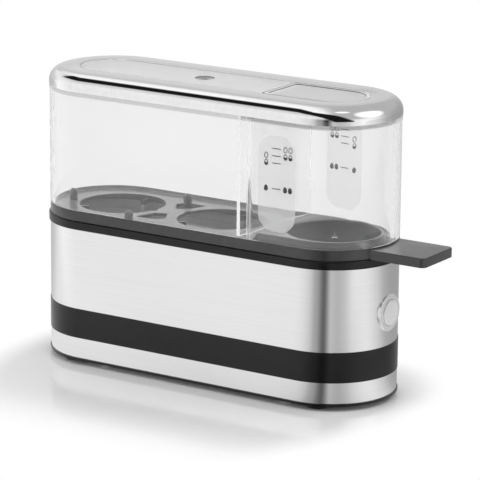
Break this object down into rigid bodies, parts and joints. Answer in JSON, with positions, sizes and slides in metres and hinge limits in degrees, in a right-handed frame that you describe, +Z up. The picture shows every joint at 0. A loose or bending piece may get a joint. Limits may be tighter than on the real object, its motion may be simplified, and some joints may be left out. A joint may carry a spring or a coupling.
{
  "type": "egg cooker",
  "caption": "Stadium-shaped electric egg cooker with steel base, lift-out carrier with a flat handle, clear lift-off hood and a measuring cup stored in it.",
  "frame": {"origin": "on the floor under the middle of the overall box, handle included", "axes": "+X along the body towards the handle and the button, +Y towards the back, +Z up"},
  "size_m": [0.2396, 0.0732, 0.1605],
  "materials": {
    "black_plastic": "satin moulded",
    "brushed_steel": "brushed round the body",
    "pan_steel": "drawn, satin",
    "chrome": "polished",
    "clear_plastic": "clear moulded plastic",
    "rubber": "matt",
    "silicone": "matt",
    "aluminium": "plain",
    "heater_steel": "dull",
    "sheet_steel": "plain",
    "button_metal": "satin",
    "white_plastic": "satin"
  },
  "bodies": {
    "base": {"base_tray": "black_plastic", "rubber_feet": "rubber", "lower_sleeve": "brushed_steel", "inner_housing": "black_plastic", "upper_sleeve": "brushed_steel", "cord_gland": "rubber", "top_rim": "black_plastic", "pan_seal": "silicone", "water_pan": "pan_steel", "heat_spreader": "aluminium", "heating_element": "heater_steel", "element_terminals": "sheet_steel", "thermostat": "sheet_steel", "thermostat_bracket": "sheet_steel", "thermal_fuse": "white_plastic", "fuse_clip": "sheet_steel", "strap_screws": "sheet_steel", "heat_shield": "sheet_steel", "tray_screws": "sheet_steel", "shield_screws": "sheet_steel", "terminal_block": "white_plastic", "switch_bezel": "chrome", "switch_body": "black_plastic", "switch_bracket": "sheet_steel", "bracket_screws": "sheet_steel"},
    "carrier": {"egg_carrier": "black_plastic", "pricker_needle": "sheet_steel"},
    "hood": {"hood": "clear_plastic", "chrome_ring": "chrome"},
    "cup": {"measuring_cup": "clear_plastic"},
    "button": {"start_button": "button_metal", "switch_plunger": "white_plastic"}
  },
  "joints": [
    {"name": "carrier_lift", "type": "slide", "parent": "base", "child": "carrier", "axis": [0, 0, 1], "range_m": [0, 0.06]},
    {"name": "hood_lift", "type": "slide", "parent": "carrier", "child": "hood", "axis": [0, 0, 1], "range_m": [0, 0.17]},
    {"name": "cup_lift", "type": "slide", "parent": "carrier", "child": "cup", "axis": [0, 0, 1], "range_m": [0, 0.085]},
    {"name": "button_press", "type": "slide", "parent": "base", "child": "button", "axis": [-1, 0, 0], "range_m": [0, 0.0025], "stiffness_N_per_m": 400, "springref_m": -0.002}
  ],
  "couplings": [
    {"joint": "cup_lift", "follows": "hood_lift", "ratio": 0.5}
  ]
}
